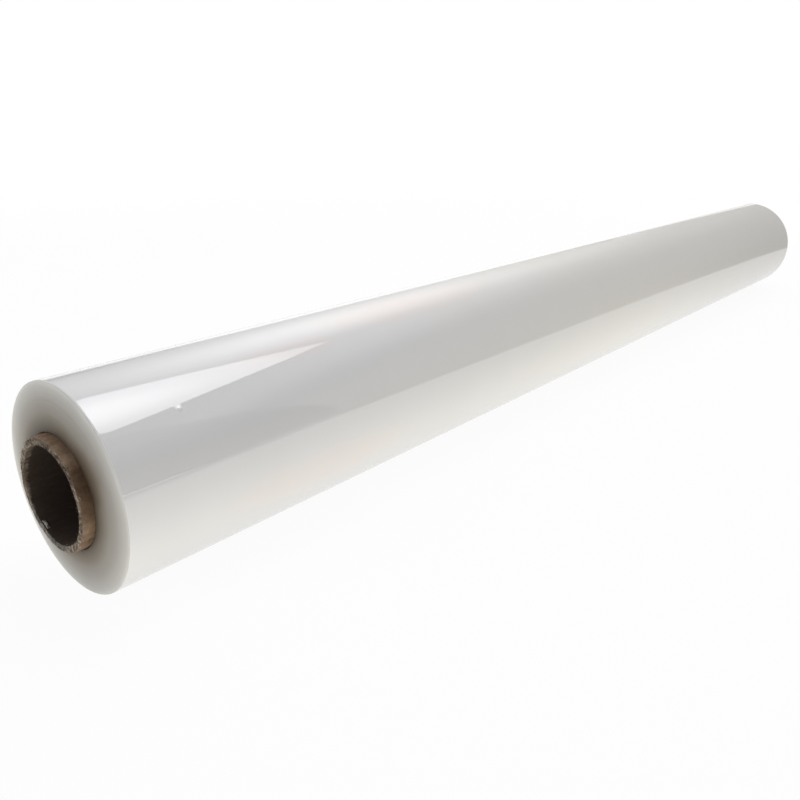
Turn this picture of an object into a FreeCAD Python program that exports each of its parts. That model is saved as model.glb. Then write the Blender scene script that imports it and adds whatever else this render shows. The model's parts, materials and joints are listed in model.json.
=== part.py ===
# Roll of clear gift-wrap film on a paperboard core, lying at rest on its side.
# Frame: X along the roll's axis, Y across it, Z up. The origin is on the surface that
# the roll lies on, halfway along the roll and under its axis. Lengths in millimetres.

import FreeCAD
import Part
import Sketcher
import math
import os

doc = FreeCAD.newDocument("FilmRoll")

# Driving sizes: alias, value, meaning

SIZES = [
    ("film_width", 800.0, "width that the film was slit to"),
    ("film_diameter", 89.65, "mean diameter of the outermost turn"),
    ("telescope", 1.9, "how far the innermost turns have slid towards -X"),
    ("lip_radius", 1.4, "soft rounding of the outermost turns at each end"),
    ("tail_lift", 0.25, "height of the film's free edge above the turn under it"),
    ("tail_angle", 165.0, "place of the free edge, in degrees from +Y towards +Z"),
    ("flat_width", 12.0, "width of the flat spot that the roll lies on"),
    ("core_bore", 41.0, "bore of the paperboard core, for a dispenser rod"),
    ("core_wall", 3.75, "thickness of the core's wound board"),
    ("core_overhang", 6.7, "how far the core stands out of the winding at each end"),
    ("core_edge", 0.6, "rounding of the core's cut edges"),
]

sheet = doc.addObject("Spreadsheet::Sheet", "Sizes")
for row, (alias, value, meaning) in enumerate(SIZES, start=1):
    sheet.set(f"A{row}", alias)
    sheet.set(f"B{row}", str(value))
    sheet.set(f"C{row}", meaning)
    sheet.setAlias(f"B{row}", alias)
doc.recompute()

# Sizes that follow from the driving ones

ROLL_RADIUS = "(Sizes.film_diameter / 2)"
ROLL_END = "(Sizes.film_width / 2)"
CORE_RADIUS = "(Sizes.core_bore / 2 + Sizes.core_wall)"
AXIS_HEIGHT = "sqrt((Sizes.film_diameter / 2) ^ 2 - (Sizes.flat_width / 2) ^ 2)"

START, END, CENTRE = 1, 2, 3
ORIGIN = (-1, START)


# Helpers

def formula_value(formula):
    return float(sheet.evalExpression(formula))


def make_body(label):
    body = doc.addObject("PartDesign::Body", label)
    body.Label = label
    return body


def sketch_on(body, role, name):
    """A new sketch on one of the body's own origin planes."""
    plane = next(part for part in body.Origin.OriginFeatures if part.Role == role)
    sketch = body.newObject("Sketcher::SketchObject", name)
    sketch.AttachmentSupport = [(plane, "")]
    sketch.MapMode = "FlatFace"
    return sketch


def drive(sketch, name, kind, places, formula):
    """Constrain places in a sketch to a formula of the sheet's sizes."""
    value = formula_value(formula)
    index = sketch.addConstraint(Sketcher.Constraint(kind, *places, value))
    sketch.renameConstraint(index, name)
    sketch.setExpression("Constraints." + name, formula)


def place_point(sketch, name, point, across, up):
    """Hold a sketch point at two distances from the sketch's origin."""
    drive(sketch, name + "_across", "DistanceX", (*ORIGIN, *point), across)
    drive(sketch, name + "_up", "DistanceY", (*ORIGIN, *point), up)


def join_ends(sketch, *pairs):
    for first, second in pairs:
        sketch.addConstraint(Sketcher.Constraint("Coincident", *first, *second))


def add_circle(sketch, name, radius):
    """A circle of a driven radius round the sketch's origin."""
    circle = Part.Circle(FreeCAD.Vector(), FreeCAD.Vector(0, 0, 1), formula_value(radius))
    index = sketch.addGeometry(circle)
    join_ends(sketch, ((index, CENTRE), ORIGIN))
    drive(sketch, name, "Radius", (index,), radius)


def add_outline(sketch, corners):
    """Straight edges between (name, across, up) corners that follow the sheet's sizes."""
    places = [FreeCAD.Vector(formula_value(a), formula_value(u), 0) for _, a, u in corners]
    edges = [
        sketch.addGeometry(Part.LineSegment(here, there))
        for here, there in zip(places, places[1:])
    ]
    for edge, (name, across, up) in zip(edges, corners):
        place_point(sketch, name, (edge, START), across, up)
    name, across, up = corners[-1]
    place_point(sketch, name, (edges[-1], END), across, up)
    join_ends(sketch, *(((a, END), (b, START)) for a, b in zip(edges, edges[1:])))
    return edges


def pad_evenly(body, name, sketch, length):
    """Pad a sketch half to each side of its plane."""
    pad = body.newObject("PartDesign::Pad", name)
    pad.Profile = sketch
    pad.SideType = "Symmetric"
    pad.setExpression("Length", length)
    doc.recompute()
    return pad


def check_cut(feature):
    """A cut that points away from the solid removes nothing and shows no error."""
    doc.recompute()
    if not feature.Shape.Volume < feature.BaseFeature.Shape.Volume - 1:
        raise RuntimeError(feature.Label + " cut nothing")


# Wound film. Its turns lie tight on each other and are one solid, but the outermost turn
# shows where it ends. It is drawn as a four-centre spiral: four quarter arcs, struck from
# the corners of a small square round the axis, each a quarter of the lift larger than the
# one before. After a whole turn the film stands one lift above where it started, and that
# step is its free edge.

film = make_body("film_roll")

turn = sketch_on(film, "YZ_Plane", "outer_turn")
turn.setExpression("AttachmentOffset.Rotation.Angle", "Sizes.tail_angle * 1 deg")

quarters = [(-1, 1), (-1, -1), (1, -1), (1, 1)]
corner = "Sizes.tail_lift / 8"
arcs = []
for number, (across, up) in enumerate(quarters):
    radius = f"{ROLL_RADIUS} + Sizes.tail_lift * {(number - 1.5) / 4}"
    offset = formula_value(corner)
    centre = FreeCAD.Vector(across * offset, up * offset, 0)
    circle = Part.Circle(centre, FreeCAD.Vector(0, 0, 1), formula_value(radius))
    begin = number * math.pi / 2
    arc = turn.addGeometry(Part.ArcOfCircle(circle, begin, begin + math.pi / 2))
    place_point(turn, f"centre_{number}", (arc, CENTRE), f"{across} * {corner}", f"{up} * {corner}")
    level = "Horizontal" if number % 2 == 0 else "Vertical"
    turn.addConstraint(Sketcher.Constraint(level, arc, CENTRE, arc, START))
    arcs.append(arc)
    if number == 0:
        drive(turn, "start_radius", "Radius", (arc,), radius)
    else:
        join_ends(turn, ((arcs[-2], END), (arc, START)))
turn.addConstraint(Sketcher.Constraint("Horizontal", arcs[-1], CENTRE, arcs[-1], END))

step = turn.addGeometry(Part.LineSegment(
    turn.getPoint(arcs[-1], END), turn.getPoint(arcs[0], START)))
join_ends(turn, ((arcs[-1], END), (step, START)), ((step, END), (arcs[0], START)))
add_circle(turn, "core_seat", CORE_RADIUS)

blank_end = f"({ROLL_END} + 2 * Sizes.telescope)"
pad_evenly(film, "winding", turn, f"2 * {blank_end}")

# Each end of the winding is turned to a shallow cone, because every turn sits a little
# further along the core than the turn outside it, and its outer edge is rounded. The
# tool runs below the core's surface and one lift clear of the largest turn.

tool_top = f"({ROLL_RADIUS} + Sizes.tail_lift)"
lip_base = f"({tool_top} - Sizes.lip_radius)"
tool_base = "(Sizes.core_bore / 2)"
cone_foot = f"Sizes.telescope * ({lip_base} - {tool_base}) / ({lip_base} - {CORE_RADIUS})"

for name, side in [("near", -1), ("far", 1)]:
    profile = sketch_on(film, "XZ_Plane", name + "_end_profile")
    face = f"({side} * {ROLL_END})"
    inside = f"({face} - {side} * Sizes.lip_radius)"
    beyond = f"({side} * ({blank_end} + Sizes.lip_radius))"
    edges = add_outline(profile, [
        ("crest", inside, tool_top),
        ("outer_corner", beyond, tool_top),
        ("inner_corner", beyond, tool_base),
        ("foot", f"{face} - {cone_foot}", tool_base),
        ("lip", face, lip_base),
    ])
    hub = FreeCAD.Vector(formula_value(inside), formula_value(lip_base), 0)
    round_edge = Part.Circle(hub, FreeCAD.Vector(0, 0, 1), sheet.get("lip_radius"))
    sweep = (0, math.pi / 2) if side > 0 else (math.pi / 2, math.pi)
    lip = profile.addGeometry(Part.ArcOfCircle(round_edge, *sweep))
    ends = (START, END) if side > 0 else (END, START)
    join_ends(profile, ((edges[-1], END), (lip, ends[0])), ((lip, ends[1]), (edges[0], START)))
    drive(profile, "lip_radius", "Radius", (lip,), "Sizes.lip_radius")
    groove = film.newObject("PartDesign::Groove", name + "_end")
    groove.Profile = profile
    groove.ReferenceAxis = (profile, ["H_Axis"])
    groove.Angle = 360
    check_cut(groove)

# The film is wound with a little air in it, so its own weight presses a narrow flat.

rest = sketch_on(film, "YZ_Plane", "flat_spot_profile")
edges = add_outline(rest, [
    ("left_top", f"-{tool_top}", f"-{AXIS_HEIGHT}"),
    ("right_top", tool_top, f"-{AXIS_HEIGHT}"),
    ("right_bottom", tool_top, f"-{tool_top}"),
    ("left_bottom", f"-{tool_top}", f"-{tool_top}"),
])
closing = rest.addGeometry(Part.LineSegment(
    rest.getPoint(edges[-1], END), rest.getPoint(edges[0], START)))
join_ends(rest, ((edges[-1], END), (closing, START)), ((closing, END), (edges[0], START)))

flat = film.newObject("PartDesign::Pocket", "flat_spot")
flat.Profile = rest
flat.SideType = "Symmetric"
flat.setExpression("Length", f"2 * {blank_end}")
check_cut(flat)
film.setExpression("Placement.Base.z", AXIS_HEIGHT)


# Core: a tube of wound paperboard that carries the film and stands out at both ends. Its
# cut edges are worn round.

core = make_body("core_tube")

ring = sketch_on(core, "YZ_Plane", "board_section")
add_circle(ring, "bore", "Sizes.core_bore / 2")
add_circle(ring, "seat", CORE_RADIUS)
tube = pad_evenly(core, "wound_board", ring, "Sizes.film_width + 2 * Sizes.core_overhang")

rims = [
    f"Edge{number}"
    for number, edge in enumerate(tube.Shape.Edges, start=1)
    if edge.Closed and isinstance(edge.Curve, Part.Circle)
]
worn = core.newObject("PartDesign::Fillet", "worn_edges")
worn.Base = (tube, rims)
worn.setExpression("Radius", "Sizes.core_edge")
check_cut(worn)
core.setExpression("Placement.Base.z", AXIS_HEIGHT)


# Check the document, then write each piece.

doc.recompute()
for item in doc.Objects:
    if {"Invalid", "Error"} & set(item.State):
        raise RuntimeError(f"{item.Label} failed: {item.State}")
    if item.isDerivedFrom("Sketcher::SketchObject") and not item.FullyConstrained:
        raise RuntimeError(f"{item.Label} isn't fully constrained")

pieces = [film, core]
for piece in pieces:
    if piece.Shape.isNull() or not piece.Shape.isValid() or len(piece.Shape.Solids) != 1:
        raise RuntimeError(f"{piece.Label} isn't one sound solid")

os.makedirs("parts", exist_ok=True)
for piece in pieces:
    piece.Shape.exportStep(f"parts/{piece.Label}.step")
    box = piece.Shape.optimalBoundingBox(False, False)
    print(
        f"{piece.Label}: {piece.Shape.Volume / 1000:.2f} cm3, "
        f"X {box.XMin:.3f} to {box.XMax:.3f}, Y {box.YMin:.3f} to {box.YMax:.3f}, "
        f"Z {box.ZMin:.3f} to {box.ZMax:.3f}"
    )
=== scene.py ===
import bpy
import json
import math
from mathutils import Matrix, Vector, noise


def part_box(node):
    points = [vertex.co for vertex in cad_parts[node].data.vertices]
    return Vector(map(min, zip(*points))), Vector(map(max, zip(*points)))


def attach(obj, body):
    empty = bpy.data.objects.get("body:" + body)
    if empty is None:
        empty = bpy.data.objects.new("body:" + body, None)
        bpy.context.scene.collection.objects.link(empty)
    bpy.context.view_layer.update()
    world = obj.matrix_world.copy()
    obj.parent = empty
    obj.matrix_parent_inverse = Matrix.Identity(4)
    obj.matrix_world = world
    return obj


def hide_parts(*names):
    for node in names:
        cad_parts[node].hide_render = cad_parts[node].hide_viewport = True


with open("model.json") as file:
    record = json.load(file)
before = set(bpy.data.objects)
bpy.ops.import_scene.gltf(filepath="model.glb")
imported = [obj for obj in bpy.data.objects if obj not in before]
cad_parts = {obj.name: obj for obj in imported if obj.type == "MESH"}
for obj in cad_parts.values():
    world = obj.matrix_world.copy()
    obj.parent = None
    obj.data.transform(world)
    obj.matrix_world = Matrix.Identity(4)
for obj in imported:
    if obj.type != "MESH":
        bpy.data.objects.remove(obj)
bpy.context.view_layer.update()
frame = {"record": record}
print("frame loaded")

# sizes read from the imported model, in metres

rollLow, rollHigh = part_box("film_roll")
coreLow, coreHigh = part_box("core_tube")
axisHeight = (coreLow[2] + coreHigh[2]) / 2
coreRadius = (coreHigh[1] - coreLow[1]) / 2
rollRadius = (rollHigh[1] - rollLow[1]) / 2
coreEnd = coreHigh[0]
boreRadius = frame["record"]["mounts"][0]["dims"]["r_mm"] / 1000

fullTurn = 2 * math.pi
mergeDistance = 0.000001
patchEdge = {"from": 0.35, "to": 1.1, "unevenness": 0.8}       # in shares of a patch's reach


# small helpers for node trees

def feed(tree, socket, value):
    if isinstance(value, bpy.types.NodeSocket):
        tree.links.new(value, socket)
    else:
        socket.default_value = value


def addNode(tree, kind, inputs=(), **settings):
    # a node with its settings, and its inputs linked or set in order or by name
    node = tree.nodes.new(kind)
    for name, value in settings.items():
        setattr(node, name, value)
    for place, value in inputs.items() if isinstance(inputs, dict) else enumerate(inputs):
        feed(tree, node.inputs[place], value)
    return node


def valueOf(tree, kind, inputs=(), **settings):
    # the first output of a new node
    return addNode(tree, kind, inputs, **settings).outputs[0]


def maths(tree, operation, *values, clamp=False):
    return valueOf(tree, "ShaderNodeMath", values, operation=operation, use_clamp=clamp)


def plus(tree, *both, clamp=False):
    return maths(tree, "ADD", *both, clamp=clamp)


def minus(tree, *both, clamp=False):
    return maths(tree, "SUBTRACT", *both, clamp=clamp)


def over(tree, *both, clamp=False):
    return maths(tree, "DIVIDE", *both, clamp=clamp)


def times(tree, product, *factors):
    for factor in factors:
        product = maths(tree, "MULTIPLY", product, factor)
    return product


def hypotenuse(tree, first, second):
    return maths(tree, "SQRT", plus(tree, times(tree, first, first), times(tree, second, second)))


def joinPlace(tree, *parts):
    return valueOf(tree, "ShaderNodeCombineXYZ", parts)


def splitPlace(tree, vector):
    return tuple(addNode(tree, "ShaderNodeSeparateXYZ", [vector]).outputs)


def towards(tree, *both):
    # how far a place lies along a direction: their dot product
    return addNode(tree, "ShaderNodeVectorMath", both, operation="DOT_PRODUCT").outputs["Value"]


def awayFrom(tree, *both):
    return addNode(tree, "ShaderNodeVectorMath", both, operation="DISTANCE").outputs["Value"]


def easeBetween(tree, *inputs):
    # as a value goes from a start to an end, a smooth change from one level to another
    return valueOf(tree, "ShaderNodeMapRange", inputs, interpolation_type="SMOOTHSTEP")


def stretchedBy(tree, vector, stretch):
    return valueOf(tree, "ShaderNodeMapping", {"Vector": vector, "Scale": stretch})


def noiseOn(tree, vector, scale, detail=3.0, roughness=0.5, stretch=(1, 1, 1)):
    return addNode(tree, "ShaderNodeTexNoise", {
        "Vector": stretchedBy(tree, vector, stretch), "Scale": scale, "Detail": detail,
        "Roughness": roughness}).outputs["Fac"]


def nearTo(tree, place, centre, reach, cloud):
    # 1 near a place on the piece, fading unevenly to 0
    share = over(tree, awayFrom(tree, place, centre), reach)
    uneven = plus(tree, share, times(tree, minus(tree, cloud, 0.5), patchEdge["unevenness"]))
    return easeBetween(tree, uneven, patchEdge["from"], patchEdge["to"], 1.0, 0.0)


def ramp(tree, factor, stops):
    node = addNode(tree, "ShaderNodeValToRGB", [factor])
    elements = node.color_ramp.elements
    while len(elements) < len(stops):
        elements.new(0.5)
    for element, (position, colour) in zip(elements, stops):
        element.position = position
        element.color = (*colour, 1)
    return node.outputs[0]


def bump(tree, height, distance, strength):
    return valueOf(tree, "ShaderNodeBump", {
        "Height": height, "Distance": distance, "Strength": strength})


def mixColours(tree, factor, first, second, blend="MIX"):
    node = addNode(tree, "ShaderNodeMix", {"Factor": factor}, data_type="RGBA", blend_type=blend)
    colours = [socket for socket in node.inputs if socket.type == "RGBA"]
    for socket, value in zip(colours, (first, second)):
        feed(tree, socket, value if isinstance(value, bpy.types.NodeSocket) else (*value, 1))
    return [socket for socket in node.outputs if socket.type == "RGBA"][0]


def mixShaders(tree, share, first, second):
    return valueOf(tree, "ShaderNodeMixShader", (share, first, second))


def blankMaterial(name):
    material = bpy.data.materials.new(name)
    material.use_nodes = True
    material.node_tree.nodes.clear()
    return material, material.node_tree


def finishedWith(tree, shader):
    addNode(tree, "ShaderNodeOutputMaterial", {"Surface": shader})


def principled(tree, inputs):
    finishedWith(tree, valueOf(tree, "ShaderNodeBsdfPrincipled", inputs))


def objectPlace(tree):
    return addNode(tree, "ShaderNodeTexCoord").outputs["Object"]


def rollPlace(tree):
    # object coordinates with the roll's axis at zero
    return valueOf(tree, "ShaderNodeMapping", (objectPlace(tree), (0, 0, -axisHeight)))


def objectFrom(name, data):
    thing = bpy.data.objects.new(name, data)
    bpy.context.scene.collection.objects.link(thing)
    return thing


# materials of the film

filmLook = {
    "faceColour": (0.672, 0.674, 0.698),
    "faceStreak": (0.702, 0.703, 0.726),
    "streaks": {"scale": 30.0, "detail": 4.0, "roughness": 0.6, "stretch": (1.6, 0.5, 0.5)},
    "faceFar": (1.0, 0.977, 0.917),    # a little warmer towards the far half
    "farBetween": (-0.36, 0.04),
    "faceWarmSheen": (1.045, 0.975, 0.945),     # painted warm tint of the reflections, in faint patches where the thin film tints the light
    "warmSheenStretch": (0.16, 1, 1),
    "warmSheenPlaces": [            # place from the axis, in stretched coordinates, reach and strength
        ((-0.0331, -0.0139, 0.0426), 0.0125, 1.0),
        ((-0.0480, -0.0224, 0.0388), 0.007, 0.8),
        ((-0.0475, -0.0431, -0.0124), 0.012, 0.8),
    ],
    "edgeHighlight": (0.86, 0.86, 0.86),    # painted highlight along the free edge, most at the near end
    "edgeWidth": 0.00045,
    "edgeFade": (-0.388, -0.355),
    "deepRoughness": 0.34,     # light from the turns under the outermost one
    "deepIndex": 1.2,
    "skinRoughness": 0.03,     # the clear outermost turn
    "skinIndex": 1.9,          # two flat faces of film, one close behind the other
    "skinGrain": {"scale": 400.0, "detail": 2.0, "stretch": (0.25, 1, 1)},
    "skinBump": (0.00002, 0.5),
    "endRoughness": 0.5,
    "endIndex": 1.3,
    "endLitAndShaded": [            # painted light and shade, dark near the core and pale at the rim: share of the way from core to rim, and the colour there
        (0.00, (0.060, 0.040, 0.025)),
        (0.05, (0.073, 0.056, 0.038)),
        (0.13, (0.102, 0.085, 0.063)),
        (0.24, (0.148, 0.128, 0.101)),
        (0.40, (0.226, 0.211, 0.189)),
        (0.60, (0.292, 0.281, 0.264)),
        (0.78, (0.388, 0.379, 0.367)),
        (0.90, (0.470, 0.463, 0.452)),
        (1.00, (0.620, 0.620, 0.615)),
    ],
    "endClouds": 55.0,
    "endDrift": 0.10,          # the clouds move those colours in and out by up to half of this
    "endLines": 4200.0,        # fine rings, by distance from the axis
    "endLineColour": (0.16, 0.15, 0.14),
    "endLineShare": 0.22,
    "endBump": (0.00012, 0.35),
    "endCoreShade": (0.72, 0.64, 0.58),    # painted shade of the core, browner round one side of it
    "endCoreShadePlace": (0, -0.0200, 0.0115),
    "endCoreShadeReach": 0.0145,
    "endLitSide": (0, 0.5, -0.87),     # painted light: the end is lighter towards the side that more light comes along the turns from
    "endLitMore": 0.14,
}


def makeFilmFace():
    # clear skin over many turns that scatter like milk glass
    look = filmLook
    material, tree = blankMaterial("woundFilm")
    place = rollPlace(tree)
    along, across, up = splitPlace(tree, place)
    streaks = noiseOn(tree, place, **look["streaks"])
    colour = mixColours(tree, streaks, look["faceColour"], look["faceStreak"])
    further = easeBetween(tree, along, *look["farBetween"], 0.0, 1.0)
    colour = mixColours(tree, further, colour, look["faceFar"], "MULTIPLY")
    # painted reflection: a warm tint in patches where the highlights fall
    drawn = stretchedBy(tree, place, look["warmSheenStretch"])
    patches = 0.0
    for centre, reach, strength in look["warmSheenPlaces"]:
        patch = times(tree, nearTo(tree, drawn, centre, reach, streaks), strength)
        patches = maths(tree, "MAXIMUM", patch, patches)
    colour = mixColours(tree, patches, colour, look["faceWarmSheen"], "MULTIPLY")
    # painted highlight: a pale line along the free edge, fading towards the far end
    cut = math.radians(filmPlan["freeEdgeAngle"])
    cutPlace = (0, rollRadius * math.cos(cut), rollRadius * math.sin(cut))
    aside = awayFrom(tree, joinPlace(tree, 0, across, up), cutPlace)
    line = times(tree, easeBetween(tree, aside, 0.0, look["edgeWidth"], 1.0, 0.0),
                 easeBetween(tree, along, *look["edgeFade"], 1.0, 0.0))
    colour = mixColours(tree, line, colour, look["edgeHighlight"])
    grain = noiseOn(tree, place, **look["skinGrain"])
    principled(tree, {
        "Base Color": colour,
        "Roughness": look["deepRoughness"],
        "IOR": look["deepIndex"],
        "Coat Weight": 1.0,
        "Coat Roughness": look["skinRoughness"],
        "Coat IOR": look["skinIndex"],
        "Normal": bump(tree, grain, *look["skinBump"]),
    })
    return material


def makeFilmEnds():
    # edges of the turns, with painted light and shade: brown where light comes through from the core and
    # the core shades them, pale at the rim
    look = filmLook
    material, tree = blankMaterial("filmEdges")
    place = rollPlace(tree)
    across, up = splitPlace(tree, place)[1:]
    radius = hypotenuse(tree, across, up)
    share = over(tree, minus(tree, radius, coreRadius), rollRadius - coreRadius)
    cloud = noiseOn(tree, place, look["endClouds"])
    drift = times(tree, minus(tree, cloud, 0.5), look["endDrift"])
    shade = ramp(tree, plus(tree, share, drift, clamp=True), look["endLitAndShaded"])
    turns = addNode(tree, "ShaderNodeTexNoise", {
        "W": times(tree, radius, look["endLines"]), "Scale": 1.0, "Detail": 4.0},
        noise_dimensions="1D").outputs["Fac"]
    tone = mixColours(tree, times(tree, turns, look["endLineShare"]), shade, look["endLineColour"])
    # painted shade of the core: browner round one side of it
    side = joinPlace(tree, 0, across, up)
    shadePatch = nearTo(tree, side, look["endCoreShadePlace"], look["endCoreShadeReach"], cloud)
    tone = mixColours(tree, shadePatch, tone, look["endCoreShade"], "MULTIPLY")
    # painted light: lighter towards one side of the end
    lit = times(tree, towards(tree, place, look["endLitSide"]), look["endLitMore"] / rollRadius)
    tone = mixColours(tree, 1.0, tone, plus(tree, lit, 1.0), "MULTIPLY")
    principled(tree, {
        "Base Color": tone,
        "Roughness": look["endRoughness"],
        "IOR": look["endIndex"],
        "Normal": bump(tree, turns, *look["endBump"]),
    })
    return material


# the wound film: rows of a profile swept round the axis by a rule, in Geometry Nodes

filmPlan = {
    "rowSpacing": 0.007,
    "faceRows": 40,
    "lipRows": 8,
    "lipRadius": 0.0008,
    "lipHold": (0.0001, 0.0005, 0.002),    # rows close behind the lip keep its shading short
    "telescope": 0.0019,
    "columnWidth": 0.0012,
    "fineColumnWidth": 0.0003,     # between the speck and the free edge
    "edgeColumnWidth": 0.0001,     # in the curl of the free edge
    "fineFrom": 125.0,
    "freeEdgeLift": 0.00024,
    "freeEdgeAngle": 165.0,
    "layFrom": -0.34,          # along the roll, the free edge lies flatter from here
    "layTo": -0.12,            # and at its flattest from here
    "layDown": 0.8,
    "curlHeight": 0.00022,
    "curlWidth": 0.0007,
    "curlEnd": 0.052,          # the free edge curls up this far from the near end
    "curlScale": 260.0,
    "turnRidge": 0.00005,
    "ridgeClouds": 40.0,
    "waveHeight": 0.00004,
    "waveScale": 14.0,
    "speckPlace": 0.0348,      # from the near end, a speck that lifts the outermost turn
    "speckAngle": 134.4,
    "speckHeight": 0.00026,
    "speckWidth": 0.0010,
    "speckReach": 0.0025,      # rows are close together this far each side of it
    "speckSpacing": 0.00030,
    "coreGap": 0.00045,
    "gapDepth": 0.0018,
    "clearance": 0.00003,      # stays this far inside the solid it replaces
    "creaseAngle": 35,         # edges of the mesh that bend by more than this stay sharp
    "endFacing": 0.75,         # faces that look along the axis by more than this are the turns' edges
    "seed": 7,
}


def evenly(start, end, widest):
    # places from start up to but not including end, no further apart than widest
    slack = 0.001              # a rounding error adds no step
    steps = max(1, math.ceil((end - start) / widest - slack))
    return [start + (end - start) * step / steps for step in range(steps)]


def filmEndRows(end, facing):
    # one end of the winding, from the core's surface out to the top of the lip
    plan = filmPlan
    lip = plan["lipRadius"]
    lipFoot = rollRadius - plan["clearance"] - lip
    start = coreRadius + plan["coreGap"]
    rows = [(end - plan["telescope"] - facing * plan["gapDepth"], coreRadius, 0, 0, 0)]
    last = plan["faceRows"] - 1
    for step in range(last + 1):
        share = step / last
        along = end - plan["telescope"] * (1 - share)
        rows.append((along, start + (lipFoot - start) * share, share, int(0 < step < last), 0))
    for step in range(1, plan["lipRows"]):
        turn = math.pi / 2 * step / plan["lipRows"]
        along = end - facing * lip * (1 - math.cos(turn))
        rows.append((along, lipFoot + lip * math.sin(turn), 1, 0, 0))
    return rows


def filmProfile():
    # (along, radius, share of the spiral's growth, is on an end face, curl) for each row
    plan = filmPlan
    near, far = rollLow[0] + plan["telescope"], rollHigh[0]
    start, end = near + plan["lipRadius"], far - plan["lipRadius"]
    speck = near + plan["speckPlace"]
    stops = [start, *(start + hold for hold in plan["lipHold"]), speck - plan["speckReach"],
             speck + plan["speckReach"], *(end - hold for hold in reversed(plan["lipHold"])), end]
    places = []
    for here, there in zip(stops, stops[1:]):
        close = here < speck < there
        places += evenly(here, there, plan["speckSpacing" if close else "rowSpacing"])
    rows = filmEndRows(near, -1)
    for along in (*places, end):
        curl = max(0.0, 1 - (along - near) / plan["curlEnd"])
        rows.append((along, rollRadius - plan["clearance"], 1, 0, min(1.0, 2 * curl)))
    return rows + filmEndRows(far, 1)[::-1]


def filmColumns():
    # shares of a whole turn from the free edge round to it again, then back to the first
    plan = filmPlan
    girth = fullTurn * rollRadius
    fine = (plan["fineFrom"] - plan["freeEdgeAngle"]) / 360 + 1
    edge = 1 - plan["curlWidth"] / girth
    return [*evenly(0, fine, plan["columnWidth"] / girth),
            *evenly(fine, edge, plan["fineColumnWidth"] / girth),
            *evenly(edge, 1, plan["edgeColumnWidth"] / girth), 1, 0]


def profileMesh(name, rows, labels, columns):
    # a vertex for each row: X along the axis, Y the radius, and named values for the rest;
    # the columns' places round the axis lie on the same vertices, with spare ones if need be
    mesh = bpy.data.meshes.new(name)
    spare = [rows[-1]] * max(0, len(columns) - len(rows))
    mesh.from_pydata([(row[0], row[1], 0) for row in (*rows, *spare)], [], [])
    told = {label: [row[number] for row in rows] for number, label in enumerate(labels, start=2)}
    for label, values in {**told, "turned": columns}.items():
        attribute = mesh.attributes.new(label, "FLOAT", "POINT")
        for item, value in zip(attribute.data, values):
            item.value = value
    return mesh


def newTree(name, values):
    # a tree with a named input for each value
    tree = bpy.data.node_groups.new(name, "GeometryNodeTree")
    addSocket = tree.interface.new_socket
    addSocket("Geometry", in_out="INPUT", socket_type="NodeSocketGeometry")
    for label, value in values.items():
        kind = "NodeSocketInt" if isinstance(value, int) else "NodeSocketFloat"
        addSocket(label, in_out="INPUT", socket_type=kind)
    addSocket("Geometry", in_out="OUTPUT", socket_type="NodeSocketGeometry")
    return tree, addNode(tree, "NodeGroupInput").outputs


def sampleRow(tree, profile, value, row, kind="FLOAT"):
    inputs = {"Geometry": profile, "Value": value, "Index": row}
    return valueOf(tree, "GeometryNodeSampleIndex", inputs, data_type=kind, domain="POINT")


def namedAttribute(tree, name):
    return valueOf(tree, "GeometryNodeInputNamedAttribute", [name], data_type="FLOAT")


def sweptGrid(tree, inputs, labels):
    # a grid with one line of vertices for each profile row, and what its row says at each
    source, columns = inputs["Geometry"], inputs["Columns"]
    grid = addNode(tree, "GeometryNodeMeshGrid", {
        "Vertices X": plus(tree, inputs["Rows"], 1), "Vertices Y": columns})
    index = valueOf(tree, "GeometryNodeInputIndex")
    line = maths(tree, "FLOOR", over(tree, plus(tree, index, 0.5), columns))
    column = minus(tree, index, times(tree, line, columns))
    row = maths(tree, "MODULO", line, inputs["Rows"])
    position = valueOf(tree, "GeometryNodeInputPosition")
    along, base = splitPlace(tree, sampleRow(tree, source, position, row, "FLOAT_VECTOR"))[:2]
    told = [sampleRow(tree, source, namedAttribute(tree, label), row) for label in labels]
    turned = sampleRow(tree, source, namedAttribute(tree, "turned"), column)
    return grid.outputs[0], row, turned, along, base, told


def treeNoise(tree, vector, scale, detail=2.0):
    inputs = {"Vector": vector, "Scale": scale, "Detail": detail}
    return minus(tree, addNode(tree, "ShaderNodeTexNoise", inputs).outputs["Fac"], 0.5)


def polarPlace(tree, along, radius, angle):
    return joinPlace(tree, along, times(tree, radius, maths(tree, "COSINE", angle)),
                     times(tree, radius, maths(tree, "SINE", angle)))


def randomPer(tree, identity, seed, low, high):
    inputs = {2: low, 3: high, "ID": identity, "Seed": seed}
    return addNode(tree, "FunctionNodeRandomValue", inputs, data_type="FLOAT").outputs[1]


def moved(tree, mesh, place):
    return valueOf(tree, "GeometryNodeSetPosition", {"Geometry": mesh, "Position": place})


def closed(tree, mesh):
    inputs = {"Geometry": mesh, "Distance": mergeDistance}
    return valueOf(tree, "GeometryNodeMergeByDistance", inputs)


def shadedByAngle(tree, mesh, degrees):
    smooth = valueOf(tree, "GeometryNodeSetShadeSmooth", (mesh, True, True), domain="FACE")
    angle = addNode(tree, "GeometryNodeInputMeshEdgeAngle").outputs["Unsigned Angle"]
    soft = maths(tree, "LESS_THAN", angle, math.radians(degrees))
    return valueOf(tree, "GeometryNodeSetShadeSmooth", (smooth, True, soft), domain="EDGE")


def withMaterial(tree, mesh, material, selection=True):
    return valueOf(tree, "GeometryNodeSetMaterial", (mesh, selection, material))


def facesAlongAxis(tree, least):
    normal = splitPlace(tree, valueOf(tree, "GeometryNodeInputNormal"))
    return maths(tree, "GREATER_THAN", maths(tree, "ABSOLUTE", normal[0]), least)


def realised(tree, mesh):
    return valueOf(tree, "GeometryNodeRealizeInstances", [mesh])


def endTree(tree, mesh):
    addNode(tree, "NodeGroupOutput", [realised(tree, mesh)])
    return tree


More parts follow.
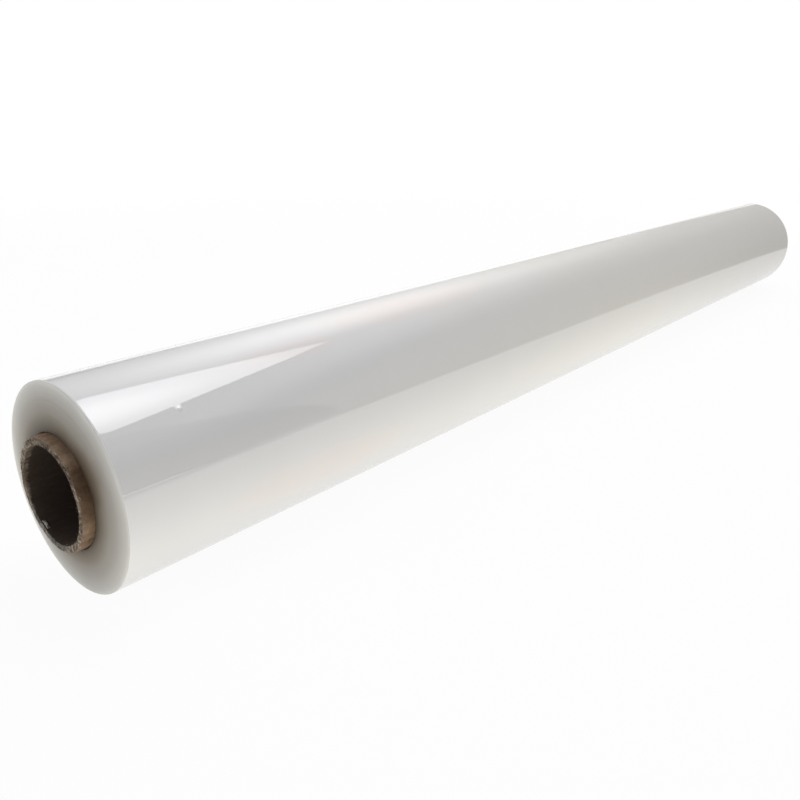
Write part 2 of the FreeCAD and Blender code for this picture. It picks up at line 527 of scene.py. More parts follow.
def bell(tree, first, second):
    # 1 in the middle, falling off to 0 by a distance of about 2
    total = plus(tree, times(tree, first, first), times(tree, second, second))
    return maths(tree, "EXPONENT", times(tree, total, -1.0))


def windingRule(values):
    plan = filmPlan
    tree, inputs = newTree("windingRule", values)
    grid, row, turned, along, base, (weight, onFace, curl) = sweptGrid(
        tree, inputs, ["weight", "onFace", "curl"])
    start = maths(tree, "RADIANS", inputs["Free Edge Angle"])
    angle = plus(tree, start, times(tree, turned, fullTurn))
    laid = over(tree, minus(tree, along, inputs["Lay From"]),
                minus(tree, inputs["Lay To"], inputs["Lay From"]), clamp=True)
    left = minus(tree, 1.0, times(tree, laid, inputs["Lay Down"]))
    lift = times(tree, inputs["Free Edge Lift"], left, weight)
    growth = times(tree, minus(tree, turned, 0.5), lift)
    plain = polarPlace(tree, along, base, angle)
    # long soft waves in the outer turn
    wave = treeNoise(tree, plain, inputs["Wave Scale"])
    sink = times(tree, minus(tree, wave, 0.5), times(tree, inputs["Wave Height"], weight))
    # the free edge curls up a little, unevenly
    fromEdge = over(tree, minus(tree, 1.0, turned), inputs["Curl Share"])
    bend = maths(tree, "POWER", minus(tree, 1.0, fromEdge, clamp=True), 2.0)
    sway = treeNoise(tree, joinPlace(tree, along, 0, 0), inputs["Curl Scale"])
    curled = times(tree, bend, plus(tree, sway, 0.75), times(tree, inputs["Curl Height"], curl))
    # one speck under the outermost turn
    aside = over(tree, minus(tree, along, inputs["Speck Place"]), inputs["Speck Width"])
    below = minus(tree, maths(tree, "RADIANS", inputs["Speck Angle"]),
                  maths(tree, "WRAP", angle, fullTurn, 0.0))
    above = over(tree, times(tree, below, base), inputs["Speck Width"])
    raised = times(tree, bell(tree, aside, above), times(tree, inputs["Speck Height"], weight))
    radius = plus(tree, plus(tree, base, growth), plus(tree, sink, plus(tree, curled, raised)))
    # turns stand a little in and out at the end faces
    patch = plus(tree, treeNoise(tree, plain, inputs["Ridge Clouds"]), 0.8)
    scatter = randomPer(tree, row, inputs["Seed"], -1.0, 1.0)
    ridge = times(tree, scatter, patch, times(tree, inputs["Turn Ridge"], onFace))
    # the roll's own weight flattens what would lie below the surface that it rests on
    x, y, z = splitPlace(tree, polarPlace(tree, plus(tree, along, ridge), radius, angle))
    height = maths(tree, "MAXIMUM", plus(tree, z, inputs["Axis Height"]), 0)
    mesh = closed(tree, moved(tree, grid, joinPlace(tree, x, y, height)))
    mesh = withMaterial(tree, shadedByAngle(tree, mesh, plan["creaseAngle"]), makeFilmFace())
    mesh = withMaterial(tree, mesh, makeFilmEnds(), facesAlongAxis(tree, plan["endFacing"]))
    return endTree(tree, mesh)


def pointOutwards(thing):
    mesh = thing.data
    mesh.calc_loop_triangles()
    volume = 0.0
    for face in mesh.loop_triangles:
        a, b, c = (mesh.vertices[i].co for i in face.vertices)
        volume += a.dot(b.cross(c)) / 6
    if volume < 0:
        mesh.flip_normals()
    print(f"{thing.name}: {len(mesh.loop_triangles)} triangles, {abs(volume) * 1e6:.1f} cm3")
    return thing


def asEvaluated(name, carrier):
    # a plain mesh of what a carrier's modifier makes of it, without the carrier
    graph = bpy.context.evaluated_depsgraph_get()
    mesh = bpy.data.meshes.new_from_object(carrier.evaluated_get(graph))
    mesh.name = name
    carrier.modifiers.clear()
    bpy.data.objects.remove(carrier)
    return pointOutwards(objectFrom(name, mesh))


def labelled(plan, *keys):
    # values of a plan by their labels as a tree's inputs, such as Curl Height for curlHeight
    labels = ("".join(" " + c if c.isupper() else c for c in key).title() for key in keys)
    return {label: plan[key] for label, key in zip(labels, keys)}


def madeByRule(name, rule, values, rows, labels, columns):
    # the mesh that a Geometry Nodes tree makes once from a profile
    values = {"Rows": len(rows), "Columns": len(columns), "Axis Height": axisHeight, **values}
    carrier = objectFrom(name + "Profile", profileMesh(name + "Profile", rows, labels, columns))
    modifier = carrier.modifiers.new("rule", "NODES")
    tree = rule(values)
    modifier.node_group = tree
    for item in tree.interface.items_tree:
        if item.item_type == "SOCKET" and item.in_out == "INPUT" and item.name in values:
            modifier[item.identifier] = values[item.name]
    return asEvaluated(name, carrier)


filmRoll = madeByRule("wound_film", windingRule, {
    **labelled(filmPlan, "freeEdgeLift", "freeEdgeAngle", "layFrom", "layTo", "layDown",
               "curlHeight", "curlScale", "turnRidge", "ridgeClouds", "waveHeight", "waveScale",
               "speckAngle", "speckHeight", "speckWidth", "seed"),
    "Curl Share": filmPlan["curlWidth"] / (fullTurn * rollRadius),
    "Speck Place": rollLow[0] + filmPlan["telescope"] + filmPlan["speckPlace"],
}, filmProfile(), ["weight", "onFace", "curl"], filmColumns())
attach(filmRoll, "root")
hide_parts("film_roll")
print("film wound")


# the paperboard core: helical plies, rims cut rough, a torn inner edge and a nick

coreLook = {
    "outside": {
        "grain": 160.0, "contrast": 0.16, "relief": 0.00012,
        "stops": [(0.0, (0.152, 0.096, 0.060)), (0.40, (0.240, 0.165, 0.112)),
                  (0.62, (0.300, 0.216, 0.154)), (0.85, (0.362, 0.256, 0.188)),
                  (1.0, (0.446, 0.355, 0.282))],
    },
    # the inner ply's brown board, painted near-black as the shade inside the tube
    "bore": {
        "grain": 420.0, "contrast": 0.26, "relief": 0.00015,
        "stops": [(0.0, (0.024, 0.014, 0.011)), (0.6, (0.040, 0.027, 0.020)),
                  (1.0, (0.070, 0.053, 0.041))],
    },
    "rim": {
        "grain": 560.0, "contrast": 0.13, "relief": 0.0005,
        "stops": [(0.0, (0.026, 0.018, 0.014)), (0.30, (0.070, 0.051, 0.039)),
                  (0.52, (0.122, 0.096, 0.076)), (0.74, (0.207, 0.174, 0.144)),
                  (1.0, (0.385, 0.347, 0.305))],
    },
    "torn": {
        "grain": 700.0, "contrast": 0.18, "relief": 0.0003,
        "stops": [(0.0, (0.12, 0.115, 0.11)), (0.5, (0.24, 0.23, 0.22)), (1.0, (0.50, 0.47, 0.44))],
    },
    "fibres": {"detail": 5.0, "roughness": 0.65, "stretch": (0.35, 1, 1)},
    "cloudScale": 0.12,        # clouds and specks, in times the grain's own scale
    "speckScale": 2.2,
    "nearFilmShade": (0.76, 0.70, 0.63),      # painted shade: what the outside is darkened by close to the film
    "nearFilmShadeFrom": 0.0005,      # how far it starts inside the film's end
    "nearFilmShadeTo": 0.0008,        # and stops short of the core's end
    "sideShade": (0.52, 0.48, 0.44),     # painted shade: what one patch of the outside, near the film, is darkened by
    "sideShadePlace": (-0.4030, -0.0225, 0.0075),      # from the axis
    "sideShadeReach": 0.0125,
    "rimGrey": (0.235, 0.235, 0.232),    # grey on the cut board's raised fibres, on one side
    "rimDarkerHollows": (0.45, 0.45, 0.45),   # what its dark hollows are darkened by there
    "rimGreyShare": 0.75,
    "rimGreySide": (0, 0.0095, -0.0205),
    "rimGreyReach": 0.021,
    "mouthDepth": 0.0016,      # the bore's mouth is torn pale this far in
    "mouthFull": 0.3,          # and wholly pale over this share of that depth
    "mouthRough": 0.0050,
    "mouthSide": (0, 0.17, 0.985),     # the side that it goes further in on
    "mouthMore": 0.0017,
    "roughness": 0.9,
    "index": 1.35,
    "bump": 0.8,
}


def shadeOutside(tree, place, colour, grain):
    # painted shade: darker where the board goes into the film, and on one patch of its side
    look = coreLook
    along = maths(tree, "ABSOLUTE", splitPlace(tree, place)[0])
    shadeByFilm = easeBetween(tree, along, -rollLow[0] - look["nearFilmShadeFrom"], coreEnd - look["nearFilmShadeTo"],
                       1.0, 0.0)
    colour = mixColours(tree, shadeByFilm, colour, look["nearFilmShade"], "MULTIPLY")
    # painted shade on one patch of the side, near the film
    shadePatch = nearTo(tree, place, look["sideShadePlace"], look["sideShadeReach"], grain["clouds"])
    return mixColours(tree, shadePatch, colour, look["sideShade"], "MULTIPLY")


def tearMouth(tree, place, colour, grain):
    # the cut has torn the innermost ply's edge pale, further in on one side
    look = coreLook
    along = maths(tree, "ABSOLUTE", splitPlace(tree, place)[0])
    rough = times(tree, minus(tree, grain["mixed"], 0.5), look["mouthRough"])
    deeper = times(tree, towards(tree, place, look["mouthSide"]), look["mouthMore"] / boreRadius)
    depth = look["mouthDepth"]
    worn = easeBetween(tree, plus(tree, along, plus(tree, rough, deeper)), coreEnd - depth,
                       coreEnd - depth * look["mouthFull"], 0.0, 1.0)
    return mixColours(tree, worn, colour, ramp(tree, grain["spread"], look["rim"]["stops"]))


def greyRimSide(tree, place, colour, grain):
    # grey on the raised fibres of one side, and darker hollows between them
    look = coreLook
    side = joinPlace(tree, 0, *splitPlace(tree, place)[1:])
    oneSide = nearTo(tree, side, look["rimGreySide"], look["rimGreyReach"], grain["fibres"])
    grey = mixColours(tree, times(tree, oneSide, look["rimGreyShare"]), colour, look["rimGrey"])
    dark = mixColours(tree, oneSide, colour, look["rimDarkerHollows"], "MULTIPLY")
    return mixColours(tree, grain["spread"], dark, grey)


def makeBoard(name, face, finish=None):
    # paperboard: long fibres along the ply's helix, with clouds and specks
    look = coreLook[face]
    material, tree = blankMaterial(name)
    place = rollPlace(tree)
    scale, contrast = look["grain"], look["contrast"]
    fibres = noiseOn(tree, place, scale, **coreLook["fibres"])
    clouds = noiseOn(tree, place, scale * coreLook["cloudScale"])
    specks = noiseOn(tree, place, scale * coreLook["speckScale"], 2.0, 0.6)
    mixed = plus(tree, times(tree, fibres, 0.5), times(tree, plus(tree, clouds, specks), 0.25))
    spread = valueOf(tree, "ShaderNodeMapRange", {
        "Value": mixed, "From Min": 0.5 - contrast, "From Max": 0.5 + contrast})
    colour = ramp(tree, spread, look["stops"])
    if finish:
        grain = {"fibres": fibres, "clouds": clouds, "mixed": mixed, "spread": spread}
        colour = finish(tree, place, colour, grain)
    principled(tree, {
        "Base Color": colour,
        "Roughness": coreLook["roughness"],
        "IOR": coreLook["index"],
        "Normal": bump(tree, mixed, look["relief"], coreLook["bump"]),
    })
    return material


corePlan = {
    "columns": 240,
    "turnsOfPly": 6,           # whole turns of the ply's helix over the core's length
    "seamStep": 0.00022,
    "overhangRows": 20,
    "hiddenRows": 8,
    "hiddenFrom": 0.006,       # the film hides the core's outside from this far in
    "boreSpacing": 0.004,
    "plies": 8,
    "rowsPerPly": 3,
    "plyGroove": 0.00016,
    "edgeRound": 0.00040,
    "edgeIn": 0.3,             # shares of that rounding that an edge's row lies in from the wall
    "edgeBack": 0.8,           # and back from the end
    "wallFray": 0.35,          # share of the rim's roughness that the walls have at their ends
    "outsideFade": 0.0022,     # it fades over this length of the outside
    "boreFade": 0.003,         # and this length of the bore
    "rimDepth": 0.00065,       # how far the rough cut goes in from the end
    "rimGain": 1.6,
    "rimScale": 620.0,
    "rimClouds": 110.0,
    "rimReach": 0.0016,        # faces this near the end can be cut board
    "rimFacing": 0.5,          # if they look along the axis by more than this
    "edgeFray": 0.00040,
    "edgeScale": 0.6,          # times the rim's own scale
    "edgeRag": 0.45,           # the share of the fray that is there before noise varies it
    "edgePlies": 0.15,         # the rim frays fully over this share of the wall at each side
    "middleFray": 0.35,
    "sagAngle": 72.0,          # where the torn inner edge hangs furthest into the bore
    "sagTimes": 2.4,
    "clearance": 0.00003,
    "nickAngle": 217.0,
    "nickWidth": 0.075,        # radians
    "nickDepth": 0.0007,
    "nickLength": 0.0007,
    "nickPlace": 0.0002,       # out from the film's end
    "creaseAngle": 50,
    "fibres": 900,
    "fibreLength": 0.00085,
    "fibreRadius": 0.00005,
    "fibreTip": 0.000005,
    "fibreBend": 0.0005,
    "fibreInset": 0.00035,     # their roots lie this far in from the end
    "fibreOutward": (-0.2, 0.5),
    "fibreSizes": (0.5, 1.3),
    "fibreWaves": 900.0,
    "seed": 11,
}


def coreProfile():
    # rows of (along, radius, twist, seam, fray, edge): a closed loop out, over and back
    plan = corePlan
    end = coreEnd - plan["clearance"]
    outer = coreRadius - plan["clearance"]
    wall = outer - boreRadius
    rounding = plan["edgeRound"]
    turn = fullTurn / (2 * coreEnd / plan["turnsOfPly"])
    covered = -rollLow[0] - plan["hiddenFrom"]
    # whole turns of the helix are dropped where the film hides the core
    dropped = round(2 * covered * turn / fullTurn) * fullTurn

    def wallRow(x, radius, twist, seam, fade):
        near = max(0.0, 1 - (end - abs(x)) / fade)
        return (x, radius, twist, seam, math.copysign(plan["wallFray"] * near, x), near)

    def outside(fromX, toX, steps, twistAt):
        places = [fromX + (toX - fromX) * step / steps for step in range(1, steps)]
        return [wallRow(x, outer, twistAt(x), 1, plan["outsideFade"]) for x in places]

    def rim(side):
        # from the outer edge to the inner one, with a groove at each glue line
        steps = plan["plies"] * plan["rowsPerPly"]
        inset = rounding * plan["edgeIn"]
        rimRows = []
        for step in range(steps + 1):
            share = step / steps
            radius = outer - inset - (wall - 2 * inset) * share
            back = plan["plyGroove"] if step % plan["rowsPerPly"] == 0 else 0
            if step in (0, steps):
                back = rounding * plan["edgeBack"]
            frayed = plan["middleFray"] if plan["edgePlies"] <= share <= 1 - plan["edgePlies"] else 1
            rimRows.append((side * (end - back), radius, side * end * turn - dropped,
                            1 - 2 * share, side, frayed))
        return rimRows

    rows = outside(-end + rounding, -covered, plan["overhangRows"], lambda x: x * turn)
    rows.append((-covered, outer, -covered * turn, 1, 0, 0))
    rows += outside(-covered, covered, plan["hiddenRows"], lambda x: -covered * turn)
    rows.append((covered, outer, covered * turn - dropped, 1, 0, 0))
    rows += outside(covered, end - rounding, plan["overhangRows"], lambda x: x * turn - dropped)
    rows += rim(1)
    steps = round(2 * end / plan["boreSpacing"])
    for step in range(1, steps):
        x = end - rounding - 2 * (end - rounding) * step / steps
        rows.append(wallRow(x, boreRadius, x * turn - dropped, -1, plan["boreFade"]))
    return rows + rim(-1)[::-1]


def fibresOnRim(tree, inputs, material):
    # loose paper fibres, most of them at the rim's two edges, at both ends of the core
    index = valueOf(tree, "GeometryNodeInputIndex")

    def draw(order, low, high):
        return randomPer(tree, index, plus(tree, inputs["Seed"], order), low, high)

    side = maths(tree, "SIGN", draw(1, -1.0, 1.0))
    angle = draw(2, 0.0, fullTurn)
    share = times(tree, minus(tree, 1.0, maths(tree, "COSINE", draw(3, 0.0, math.pi))), 0.5)
    radius = plus(tree, boreRadius, times(tree, share, coreRadius - boreRadius))
    root = times(tree, side, minus(tree, coreEnd, inputs["Fibre Inset"]))
    points = valueOf(tree, "GeometryNodePoints", {
        "Count": inputs["Fibres"], "Position": polarPlace(tree, root, radius, angle)})
    fibre = addNode(tree, "GeometryNodeMeshCone", {
        "Vertices": 4, "Side Segments": 3, "Radius Top": inputs["Fibre Tip"],
        "Radius Bottom": inputs["Fibre Radius"], "Depth": inputs["Fibre Length"]})
    lean = draw(4, 0.0, fullTurn)
    out = times(tree, side, draw(5, *corePlan["fibreOutward"]))
    way = joinPlace(tree, out, maths(tree, "COSINE", lean), maths(tree, "SINE", lean))
    aim = valueOf(tree, "FunctionNodeAlignRotationToVector", {"Vector": way}, axis="Z")
    planted = valueOf(tree, "GeometryNodeInstanceOnPoints", {
        "Points": points, "Instance": fibre.outputs["Mesh"], "Rotation": aim,
        "Scale": draw(6, *corePlan["fibreSizes"])})
    # bent, and kept within the core's length
    position = valueOf(tree, "GeometryNodeInputPosition")
    drift = addNode(tree, "ShaderNodeTexNoise", {
        "Vector": position, "Scale": corePlan["fibreWaves"]})
    x, y, z = (
        plus(tree, value, times(tree, minus(tree, sway, 0.5), inputs["Fibre Bend"]))
        for value, sway in zip(splitPlace(tree, position), splitPlace(tree, drift.outputs["Color"])))
    limit = coreEnd - corePlan["clearance"]
    held = maths(tree, "MAXIMUM", maths(tree, "MINIMUM", x, limit), -limit)
    place = joinPlace(tree, held, y, plus(tree, z, inputs["Axis Height"]))
    return withMaterial(tree, moved(tree, realised(tree, planted), place), material)


def plyRule(values):
    plan = corePlan
    tree, inputs = newTree("plyRule", values)
    grid, row, turned, along, base, (twist, seam, fray, edge) = sweptGrid(
        tree, inputs, ["twist", "seam", "fray", "edge"])
    angle = plus(tree, twist, times(tree, turned, fullTurn))
    plain = polarPlace(tree, along, base, angle)
    # the cut: coarse clouds and fine fibres, always inwards from the end
    fine = plus(tree, treeNoise(tree, plain, inputs["Rim Scale"], 3.0), 0.5)
    coarse = plus(tree, treeNoise(tree, plain, inputs["Rim Clouds"]), 0.5)
    cut = times(tree, fine, coarse, plan["rimGain"], fray, inputs["Rim Depth"])
    # edges of the board fray towards its middle, and each ply's edge shows as a small step
    step = times(tree, minus(tree, turned, 1.0), seam, inputs["Seam Step"])
    inward = maths(tree, "SIGN", minus(tree, inputs["Wall Middle"], base))
    tatter = treeNoise(tree, plain, times(tree, inputs["Rim Scale"], plan["edgeScale"]))
    rag = plus(tree, tatter, plan["edgeRag"], clamp=True)
    frayed = times(tree, rag, inward, times(tree, edge, inputs["Edge Fray"]))
    # the innermost ply has come loose along one side, and hangs in further there
    fromSag = minus(tree, angle, maths(tree, "RADIANS", inputs["Sag Angle"]))
    loose = times(tree, maths(tree, "MAXIMUM", maths(tree, "COSINE", fromSag), 0.0),
                  maths(tree, "MAXIMUM", inward, 0.0))
    hung = times(tree, loose, inputs["Sag Times"], -1.0)
    frayed = times(tree, frayed, plus(tree, 1.0, hung))
    # nick in the outside, close to the film
    off = over(tree, minus(tree, maths(tree, "WRAP", angle, fullTurn, 0.0),
                           maths(tree, "RADIANS", inputs["Nick Angle"])), inputs["Nick Width"])
    aside = over(tree, minus(tree, along, inputs["Nick Place"]), inputs["Nick Length"])
    isOuter = maths(tree, "GREATER_THAN", base, inputs["Wall Middle"])
    dent = times(tree, bell(tree, off, aside), isOuter, inputs["Nick Depth"])
    radius = minus(tree, plus(tree, plus(tree, base, step), frayed), dent)
    x, y, z = splitPlace(tree, polarPlace(tree, minus(tree, along, cut), radius, angle))
    place = joinPlace(tree, x, y, plus(tree, z, inputs["Axis Height"]))
    mesh = shadedByAngle(tree, closed(tree, moved(tree, grid, place)), plan["creaseAngle"])
    # the outside's board, the bore's and the cut rim's
    rim = makeBoard("cutBoard", "rim", greyRimSide)
    mesh = withMaterial(tree, mesh, makeBoard("kraftPly", "outside", shadeOutside))
    x, y, z = splitPlace(tree, valueOf(tree, "GeometryNodeInputPosition"))
    reach = hypotenuse(tree, y, minus(tree, z, inputs["Axis Height"]))
    inBore = maths(tree, "LESS_THAN", reach, inputs["Wall Middle"])
    # the bore's board, painted near-black for the shade inside the tube
    mesh = withMaterial(tree, mesh, makeBoard("innerPlyShaded", "bore", tearMouth), inBore)
    atEnd = maths(tree, "GREATER_THAN", maths(tree, "ABSOLUTE", x), coreEnd - plan["rimReach"])
    turnedOut = facesAlongAxis(tree, plan["rimFacing"])
    mesh = withMaterial(tree, mesh, rim, times(tree, atEnd, turnedOut))
    both = addNode(tree, "GeometryNodeJoinGeometry", [fibresOnRim(tree, inputs, rim)])
    tree.links.new(mesh, both.inputs[0])
    return endTree(tree, both.outputs[0])


coreSteps = corePlan["columns"]
coreBoard = madeByRule("core_board", plyRule, {
    **labelled(corePlan, "seamStep", "rimDepth", "rimScale", "rimClouds", "edgeFray", "sagAngle",
               "sagTimes", "nickAngle", "nickWidth", "nickDepth", "nickLength", "fibres",
               "fibreLength", "fibreRadius", "fibreTip", "fibreBend", "fibreInset", "seed"),
    "Nick Place": rollLow[0] - corePlan["nickPlace"],
    "Wall Middle": (coreRadius + boreRadius) / 2,
}, coreProfile(), ["twist", "seam", "fray", "edge"],
    [*(step / coreSteps for step in range(coreSteps + 1)), 0])
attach(coreBoard, "root")
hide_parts("core_tube")
print("core wound")


# a tongue of the innermost ply, torn loose at the near end and curled into the bore

tornPlan = {
    "fromAngle": 297.0,
    "toAngle": 309.0,
    "rootDepth": 0.0020,       # its root's distance in from the core's end
    "tipDepth": 0.0006,
    "lift": 0.0012,            # how far its free edge stands off the bore's wall
    "liftPower": 1.4,
    "curl": 0.0008,
    "curlFrom": 0.7,           # share of the way from root to tip where it curls over
    "thickness": 0.00016,
    "wallGap": 0.00005,
    "jag": 0.0004,
    "jagScale": 9.0,
    "jagSeed": 3.7,
    "jagDepth": 0.25,          # share of the jags that goes along the core
    "ends": 0.6,               # below 1, the sheet is wide close to both ends of the tear
    "unevenness": 0.35,
    "unevenWave": (2.6, 0.4),
    "sweep": 1.9,              # radians; past a quarter turn its free edge comes back a little
    "stepsAlong": 36,
    "stepsAcross": 9,
}


def tornMesh():
    plan = tornPlan
    vertices, faces = [], []
    across = plan["stepsAcross"]
    uneven = plan["unevenness"]
    wave, phase = plan["unevenWave"]
    for i in range(plan["stepsAlong"] + 1):
        u = i / plan["stepsAlong"]
        angle = math.radians(plan["fromAngle"] + (plan["toAngle"] - plan["fromAngle"]) * u)
        # ragged free edge, lifted most towards one end of the tear
        body = math.sin(math.pi * u) ** plan["ends"] * (1 - uneven + uneven * math.sin(wave * u + phase))
        rag = noise.noise(Vector((u * plan["jagScale"], plan["jagSeed"], 0))) * plan["jag"]
        for j in range(across + 1):
            v = j / across
            lift = plan["lift"] * body * (v ** plan["liftPower"]) + rag * v * v
            reach = math.sin(v * plan["sweep"])
            depth = plan["rootDepth"] + (plan["tipDepth"] - plan["rootDepth"]) * reach
            depth += plan["curl"] * body * max(0.0, v - plan["curlFrom"]) / (1 - plan["curlFrom"])
            depth += plan["jagDepth"] * rag * v
            radius = boreRadius - plan["wallGap"] - max(0.0, lift)
            vertices.append((-coreEnd + depth, radius * math.cos(angle),
                             axisHeight + radius * math.sin(angle)))
    for i in range(plan["stepsAlong"]):
        for j in range(across):
            a = i * (across + 1) + j
            faces.append((a, a + 1, a + across + 2, a + across + 1))
    mesh = bpy.data.meshes.new("tornSheet")
    mesh.from_pydata(vertices, [], faces)
    return mesh


def makeTornPly():
    sheet = objectFrom("tornSheet", tornMesh())
    wall = sheet.modifiers.new("wall", "SOLIDIFY")
    wall.thickness = tornPlan["thickness"]
    wall.offset = 0
    bpy.context.view_layer.update()
    ply = asEvaluated("core_torn_ply", sheet)
    ply.data.polygons.foreach_set("use_smooth", [True] * len(ply.data.polygons))
    ply.data.materials.append(makeBoard("tornFace", "torn"))
    return ply


tornPly = makeTornPly()
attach(tornPly, "root")
print("torn ply curled")


# studio: pale floor, white surround, a lamp past each end, and cards that the film mirrors

studio = {
    "floorSize": 7.0,
    "floorColour": (0.90, 0.90, 0.895),
    "floorGlow": 0.94,         # share of plain white in the floor round the roll
    "glowBetween": (0.6, 1.6),     # it grows to all of it from the first distance to the second
    "bounceReach": 0.5,
    "bounceLevels": [          # the sweep's light on the roll, by share of that reach from it
        (0.0, 0.56), (0.04, 0.60), (0.06, 0.66), (0.08, 0.78), (0.10, 1.00), (0.12, 1.33),
        (0.15, 1.74), (0.20, 1.84), (0.26, 1.52), (0.36, 1.16), (0.5, 0.80), (0.8, 0.40),
    ],
    "bounceAlong": [
        (-0.02, 0.42, 1.0, 0.50),      # it weakens past the middle of the roll
        (-0.425, -0.409, 1.22, 1.0),   # and is stronger in front of the near end
    ],
    "bounceColour": (1.0, 0.972, 0.87),
    "ambient": 0.50,
}


def seenOrReflected(tree):
    # 1 for rays from the camera, from gloss and through glass, 0 for lighting
    path = addNode(tree, "ShaderNodeLightPath")
    both = maths(tree, "MAXIMUM", path.outputs["Is Camera Ray"], path.outputs["Is Glossy Ray"])
    return maths(tree, "MAXIMUM", both, path.outputs["Is Transmission Ray"])


def sheetFrom(name, corners):
    mesh = bpy.data.meshes.new(name)
    mesh.from_pydata(corners, [], [tuple(range(len(corners)))])
    return objectFrom(name, mesh)


def makeFloor():
    half = studio["floorSize"] / 2
    floor = sheetFrom("floor", [(-half, -half, 0), (half, -half, 0), (half, half, 0), (-half, half, 0)])
    material, tree = blankMaterial("paleFloor")
    place = objectPlace(tree)
    x, y, z = splitPlace(tree, place)
    past = maths(tree, "MAXIMUM", minus(tree, maths(tree, "ABSOLUTE", x), coreEnd), 0)
    away = over(tree, hypotenuse(tree, past, y), studio["bounceReach"])
    level = ramp(tree, away, [(share, (value,) * 3) for share, value in studio["bounceLevels"]])
    for change in studio["bounceAlong"]:
        level = times(tree, level, easeBetween(tree, x, *change))
    bounce = valueOf(tree, "ShaderNodeEmission", ((*studio["bounceColour"], 1), level))
    matt = valueOf(tree, "ShaderNodeBsdfDiffuse", [(*studio["floorColour"], 1)])
    white = valueOf(tree, "ShaderNodeEmission")
    fade = easeBetween(tree, awayFrom(tree, place, (0, 0, 0)), *studio["glowBetween"],
                       studio["floorGlow"], 1.0)
    seen = mixShaders(tree, fade, matt, white)
    finishedWith(tree, mixShaders(tree, seenOrReflected(tree), bounce, seen))
    floor.data.materials.append(material)


def makeWorld():
    world = bpy.data.worlds.new("surround")
    bpy.context.scene.world = world
    world.use_nodes = True
    tree = world.node_tree
    tree.nodes.clear()
    level = valueOf(tree, "ShaderNodeMapRange", {
        "Value": seenOrReflected(tree), "To Min": studio["ambient"]})
    background = valueOf(tree, "ShaderNodeBackground", ((1, 1, 1, 1), level))
    addNode(tree, "ShaderNodeOutputWorld", {"Surface": background})


lampSize = (0.5, 0.28)

lamps = [
    {   # past the near end, for the edges of the turns
        "name": "near_fill", "place": (-1.20, 0.35, 0.15), "facing": (0.8, -0.35, -0.08),
        "radiance": 6.1,
    },
    {   # its twin past the far end
        "name": "far_fill", "place": (1.30, 0, 0.15), "facing": (-1, 0, -0.08),
        "radiance": 6.5,
    },
]


def makeLamp(plan):
    light = bpy.data.lights.new(plan["name"], "AREA")
    light.shape = "RECTANGLE"
    light.size, light.size_y = lampSize
    light.energy = plan["radiance"] * math.pi * light.size * light.size_y
    lamp = objectFrom(plan["name"], light)
    back = -Vector(plan["facing"]).normalized()
    side = Vector((0, 1, 0))
    side = (side - side.dot(back) * back).normalized()
    turned = Matrix((side, back.cross(side), back)).transposed()
    lamp.matrix_world = Matrix.Translation(plan["place"]) @ turned.to_4x4()
    lamp.visible_glossy = lamp.visible_camera = False


# a card's levels go by distance from its centre, in shares of its reach, or by height, in
# shares of its rise; one that is only for gloss sheds no light and casts no shadow

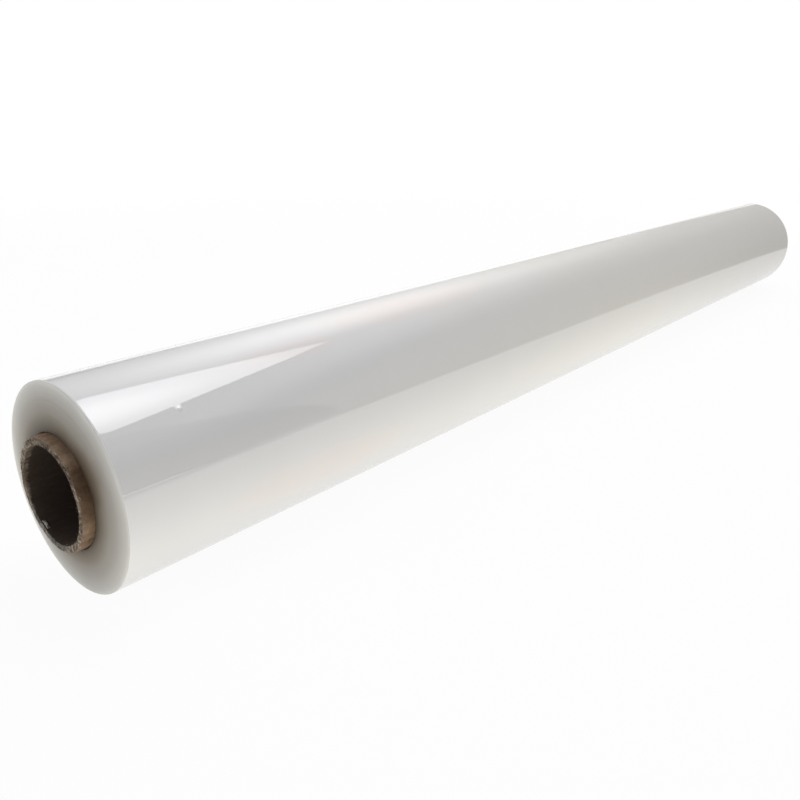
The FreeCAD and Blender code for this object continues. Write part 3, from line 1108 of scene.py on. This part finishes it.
cards = [
    {   # softbox cornerwise over the near half of the roll, weaker towards the far end
        "name": "softbox", "centre": (-0.08, -0.02, 1.01), "reach": 0.75,
        "corners": [(0.576, 0.076, 1.028), (0.126, 0.461, 1.120), (-0.322, -0.074, 1.168),
                    (0.128, -0.459, 1.076)],
        "levels": [(0.26, 4.35), (0.35, 4.05), (0.43, 3.65), (0.51, 3.25), (0.60, 3.0),
                   (0.68, 2.82), (0.74, 2.4), (1.0, 1.5)],
    },
    {   # tall dim card in front of the roll, darker towards the floor
        "name": "front_card", "glossOnly": True, "rise": 2.6,
        "corners": [(-2.2, -1.2, 0), (0.72, -1.2, 0), (0.72, -1.2, 2.6), (-2.2, -1.2, 2.6)],
        "levels": [(0.0, 0.56), (0.032, 0.50), (0.042, 0.10), (0.25, 0.12), (0.31, 0.25),
                   (0.41, 0.36), (0.47, 0.50), (0.53, 0.60), (1.0, 0.62)],
    },
    {   # lower dim card past the far end
        "name": "side_card", "tint": (1, 0.985, 0.95), "glossOnly": True,
        "centre": (0.72, -1.20, -0.54), "reach": 2.8,
        "corners": [(0.72, -1.2, 0), (0.72, 0.05, 0), (0.72, 0.07, 0.145), (0.72, 0.30, 0.20),
                    (0.72, 0.30, 0.34), (0.72, 0.15, 0.42), (0.72, 0.10, 2.6), (0.72, -1.2, 2.6)],
        "levels": [(0.20, 0.40), (0.26, 0.38), (0.36, 0.49), (0.43, 0.53), (0.50, 0.47),
                   (0.565, 0.58), (0.63, 0.86), (0.70, 1.02), (0.77, 0.96), (0.84, 0.86),
                   (1.0, 0.86)],
    },
    {   # soft round reflector behind the roll, brightest in the middle
        "name": "reflector", "tint": (1, 0.985, 0.955),
        "centre": (0.40, 0.30, 0.70), "reach": 1.7,
        "corners": [(2.06, 0.63, 0.376), (0.13, 2.37, 0.376), (-0.72, 1.43, 2.12),
                    (1.21, -0.31, 2.12)],
        "levels": [(0.535, 2.04), (0.573, 1.69), (0.611, 1.43), (0.65, 1.17), (0.69, 1.03),
                   (0.73, 0.87), (0.80, 0.75), (0.85, 0.70), (0.88, 0.56), (0.92, 0.41),
                   (0.96, 0.30)],
    },
    {   # bright foot of the sweep, far behind
        "name": "horizon", "rise": 1.0,
        "corners": [(-1, 3.3, 0), (14, 3.3, 0), (14, 3.3, 0.9), (2.4, 3.3, 0.9),
                    (1.6, 3.3, 0.25), (-1, 3.3, 0.25)],
        "levels": [(0.0, 1.5), (0.25, 1.3), (1.0, 1.2)],
    },
]


def makeCard(plan):
    card = sheetFrom(plan["name"], plan["corners"])
    material, tree = blankMaterial(plan["name"])
    place = objectPlace(tree)
    if "centre" in plan:
        share = over(tree, awayFrom(tree, place, plan["centre"]), plan["reach"])
    else:
        share = towards(tree, place, (0, 0, 1 / plan["rise"]))
    tint = plan.get("tint", (1, 1, 1))
    level = ramp(tree, share, [(at, [part * value for part in tint]) for at, value in plan["levels"]])
    finishedWith(tree, valueOf(tree, "ShaderNodeEmission", [level]))
    card.data.materials.append(material)
    card.visible_camera = False
    card.visible_diffuse = card.visible_shadow = not plan.get("glossOnly", False)


makeFloor()
makeWorld()
for plan in lamps:
    makeLamp(plan)
for plan in cards:
    makeCard(plan)
print("studio built")


cameraPlan = {
    "place": (-0.52435, -0.27944, 0.18440),
    "heading": 49.46,          # degrees from +Y towards +X
    "pitch": -20.30,
    "lens": 35.1,              # on the default sensor, 36 wide
    "nearest": 0.01,
}

camera = objectFrom("camera", bpy.data.cameras.new("camera"))
camera.location = cameraPlan["place"]
camera.rotation_euler = (
    math.radians(90 + cameraPlan["pitch"]), 0, math.radians(-cameraPlan["heading"]))
camera.data.lens = cameraPlan["lens"]
camera.data.clip_start = cameraPlan["nearest"]
bpy.context.scene.camera = camera
bpy.context.scene.view_settings.view_transform = "Standard"

bpy.context.view_layer.update()
